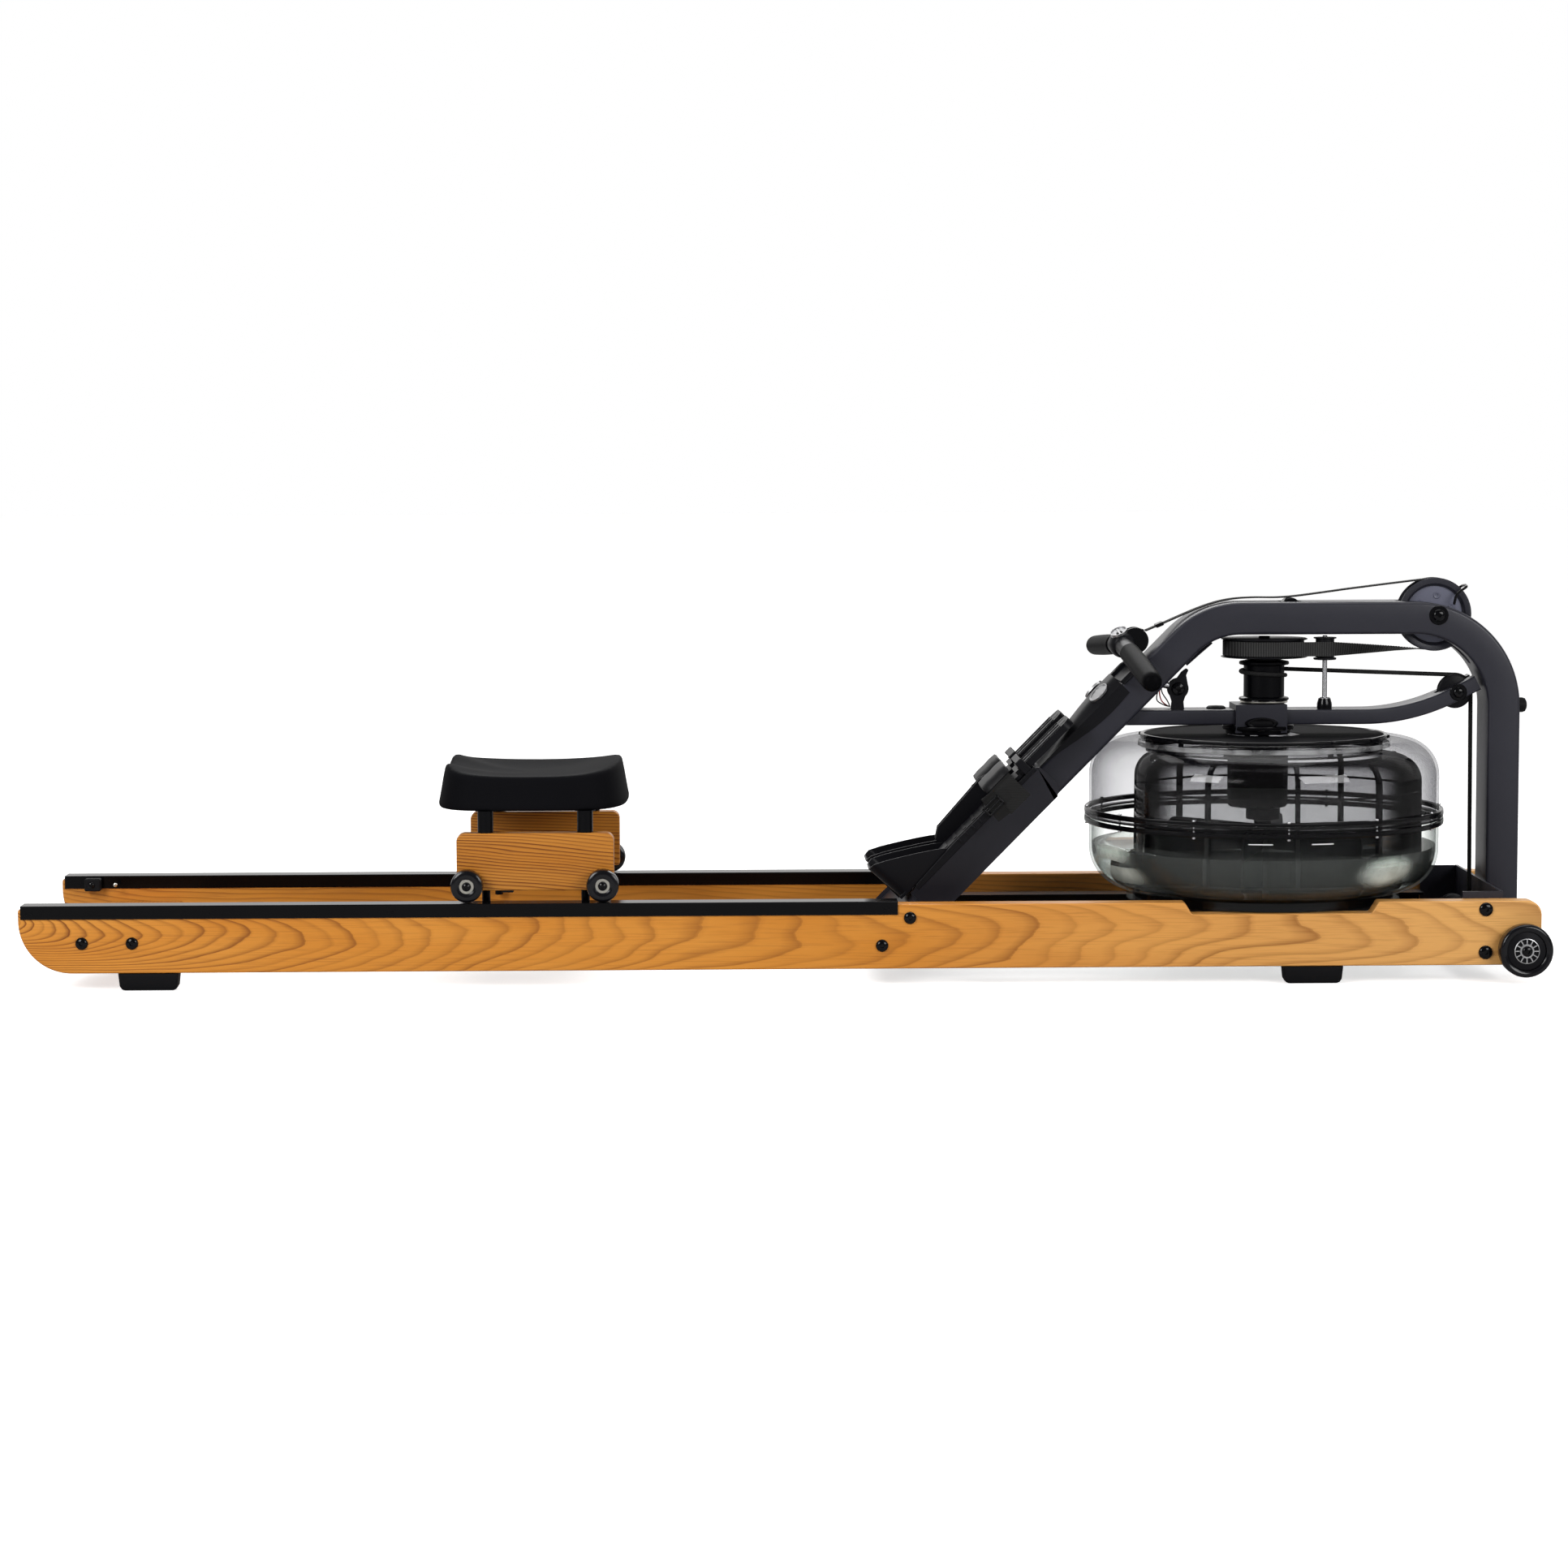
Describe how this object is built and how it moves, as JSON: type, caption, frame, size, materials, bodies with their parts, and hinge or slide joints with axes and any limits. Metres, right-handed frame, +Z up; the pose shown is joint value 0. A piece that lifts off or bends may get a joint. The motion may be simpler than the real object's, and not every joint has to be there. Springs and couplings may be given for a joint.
{
  "type": "rowing machine",
  "caption": "Wooden-rail water rowing machine: sliding seat on tracks, bent steel arch, clear water tank with impeller, belt drive with bungee return, pull handle and sliding footrests.",
  "frame": {"origin": "on the floor, in the middle of the overall length and width", "axes": "+X along the machine from the seat end to the tank end, +Y to the rower's left, +Z up"},
  "size_m": [2.09, 0.504, 0.5475],
  "materials": {
    "wood": "satin",
    "powder_coat": "satin",
    "black_steel": "satin",
    "bright_steel": "satin",
    "black_rubber": "matte",
    "wheel_rubber": "gloss",
    "black_plastic": "matte",
    "moulded_plastic": "matte",
    "pulley_plastic": "satin",
    "webbing": "matte",
    "ribbed_belt": "matte",
    "grip_foam": "matte",
    "seat_foam": "matte",
    "smoky_clear": "gloss",
    "clear": "gloss",
    "smoked": "gloss"
  },
  "bodies": {
    "base": {"near_rail": "wood", "far_rail": "wood", "rear_crossbeam": "wood", "near_track": "powder_coat", "far_track": "powder_coat", "near_base_bar": "powder_coat", "far_base_bar": "powder_coat", "main_frame": "powder_coat", "footrest_carrier": "powder_coat", "front_crossmember": "powder_coat", "belly_bar": "powder_coat", "bearing_housing": "powder_coat", "main_pulley_axle": "black_steel", "bungee_pulley_axle": "black_steel", "wheel_axle": "bright_steel", "tensioner_post": "bright_steel", "near_end_stop": "black_rubber", "far_end_stop": "black_rubber", "near_rear_foot": "black_rubber", "far_rear_foot": "black_rubber", "near_front_foot": "black_rubber", "far_front_foot": "black_rubber", "bungee_cord": "black_rubber", "tank_gasket": "black_rubber", "sensor_bracket": "black_plastic", "handle_rest": "black_plastic", "leg_cover": "black_plastic", "near_footrest": "moulded_plastic", "far_footrest": "moulded_plastic", "near_foot_strap": "webbing", "far_foot_strap": "webbing", "pull_strap": "ribbed_belt", "drive_belt": "ribbed_belt", "tank_upper_shell": "smoky_clear", "tank_lower_shell": "clear", "tank_baffle": "smoked"},
    "seat": {"seat_pad": "seat_foam", "seat_frame": "powder_coat", "near_seat_block": "wood", "far_seat_block": "wood", "front_seat_axle": "bright_steel", "rear_seat_axle": "bright_steel"},
    "near_front_roller": {"near_front_roller": "black_plastic"},
    "near_rear_roller": {"near_rear_roller": "black_plastic"},
    "far_front_roller": {"far_front_roller": "black_plastic"},
    "far_rear_roller": {"far_rear_roller": "black_plastic"},
    "near_transport_wheel": {"near_transport_wheel": "wheel_rubber"},
    "far_transport_wheel": {"far_transport_wheel": "wheel_rubber"},
    "handle": {"handle_core": "black_plastic", "near_grip": "grip_foam", "far_grip": "grip_foam"},
    "main_pulley": {"main_pulley": "pulley_plastic"},
    "guide_roller": {"guide_roller": "black_plastic"},
    "tensioner_pulley": {"tensioner_pulley": "black_plastic"},
    "drive_hub": {"drive_hub": "black_plastic"},
    "impeller": {"impeller": "moulded_plastic"},
    "bungee_pulley": {"bungee_pulley": "pulley_plastic"},
    "lower_bungee_pulley": {"lower_bungee_pulley": "pulley_plastic"},
    "near_heel_slider": {"near_heel_slider": "moulded_plastic"},
    "far_heel_slider": {"far_heel_slider": "moulded_plastic"}
  },
  "joints": [
    {"name": "seat_slide", "type": "slide", "parent": "base", "child": "seat", "axis": [1, 0, 0], "range_m": [-0.565, 0.34]},
    {"name": "near_rear_roller_spin", "type": "hinge", "parent": "seat", "child": "near_rear_roller", "pos_m": [-0.4357, -0.1773, 0.1394], "axis": [0, 1, 0], "range_deg": [-1480, 900]},
    {"name": "near_front_roller_spin", "type": "hinge", "parent": "seat", "child": "near_front_roller", "pos_m": [-0.2503, -0.1773, 0.1394], "axis": [0, 1, 0], "range_deg": [-1480, 900]},
    {"name": "far_rear_roller_spin", "type": "hinge", "parent": "seat", "child": "far_rear_roller", "pos_m": [-0.4357, 0.1773, 0.1394], "axis": [0, 1, 0], "range_deg": [-1480, 900]},
    {"name": "far_front_roller_spin", "type": "hinge", "parent": "seat", "child": "far_front_roller", "pos_m": [-0.2503, 0.1773, 0.1394], "axis": [0, 1, 0], "range_deg": [-1480, 900]},
    {"name": "near_transport_wheel_spin", "type": "hinge", "parent": "base", "child": "near_transport_wheel", "pos_m": [1.0084, -0.21, 0.0465], "axis": [0, 1, 0], "continuous": true},
    {"name": "far_transport_wheel_spin", "type": "hinge", "parent": "base", "child": "far_transport_wheel", "pos_m": [1.0084, 0.21, 0.0465], "axis": [0, 1, 0], "continuous": true},
    {"name": "handle_pull", "type": "slide", "parent": "base", "child": "handle", "axis": [-0.9903, 0, 0.1392], "range_m": [0, 1.1], "stiffness_N_per_m": 30, "springref_m": -0.3, "deforming": ["pull_strap"]},
    {"name": "main_pulley_spin", "type": "hinge", "parent": "base", "child": "main_pulley", "pos_m": [0.9157, 0, 0.4961], "axis": [0, 1, 0], "range_deg": [-1300, 0]},
    {"name": "guide_roller_spin", "type": "hinge", "parent": "base", "child": "guide_roller", "pos_m": [0.713, 0, 0.5075], "axis": [0, 1, 0], "range_deg": [-4450, 0]},
    {"name": "drive_hub_spin", "type": "hinge", "parent": "base", "child": "drive_hub", "pos_m": [0.6775, 0, 0.45], "axis": [0, 0, 1], "range_deg": [0, 1110]},
    {"name": "tensioner_spin", "type": "hinge", "parent": "base", "child": "tensioner_pulley", "pos_m": [0.7603, -0.0185, 0.45], "axis": [0, 0, 1], "range_deg": [0, 4450]},
    {"name": "bungee_pulley_spin", "type": "hinge", "parent": "base", "child": "bungee_pulley", "pos_m": [0.9468, 0, 0.3872], "axis": [0, 1, 0], "range_deg": [-1560, 0]},
    {"name": "lower_bungee_pulley_spin", "type": "hinge", "parent": "base", "child": "lower_bungee_pulley", "pos_m": [0.9485, 0, 0.075], "axis": [0, 1, 0], "range_deg": [-1560, 0]},
    {"name": "impeller_spin", "type": "hinge", "parent": "base", "child": "impeller", "pos_m": [0.6775, 0, 0.3], "axis": [0, 0, 1], "continuous": true},
    {"name": "near_heel_slide", "type": "slide", "parent": "base", "child": "near_heel_slider", "axis": [0.7022, 0, 0.712], "range_m": [-0.075, 0]},
    {"name": "far_heel_slide", "type": "slide", "parent": "base", "child": "far_heel_slider", "axis": [0.7022, 0, 0.712], "range_m": [-0.075, 0]}
  ],
  "couplings": [
    {"joint": "near_rear_roller_spin", "follows": "seat_slide", "rad_per_m": 45.045},
    {"joint": "near_front_roller_spin", "follows": "seat_slide", "rad_per_m": 45.045},
    {"joint": "far_rear_roller_spin", "follows": "seat_slide", "rad_per_m": 45.045},
    {"joint": "far_front_roller_spin", "follows": "seat_slide", "rad_per_m": 45.045},
    {"joint": "main_pulley_spin", "follows": "handle_pull", "rad_per_m": -20.367},
    {"joint": "guide_roller_spin", "follows": "handle_pull", "rad_per_m": -70.422},
    {"joint": "drive_hub_spin", "follows": "handle_pull", "rad_per_m": 17.452},
    {"joint": "tensioner_spin", "follows": "handle_pull", "rad_per_m": 70.422},
    {"joint": "bungee_pulley_spin", "follows": "handle_pull", "rad_per_m": -24.509},
    {"joint": "lower_bungee_pulley_spin", "follows": "handle_pull", "rad_per_m": -24.509}
  ]
}
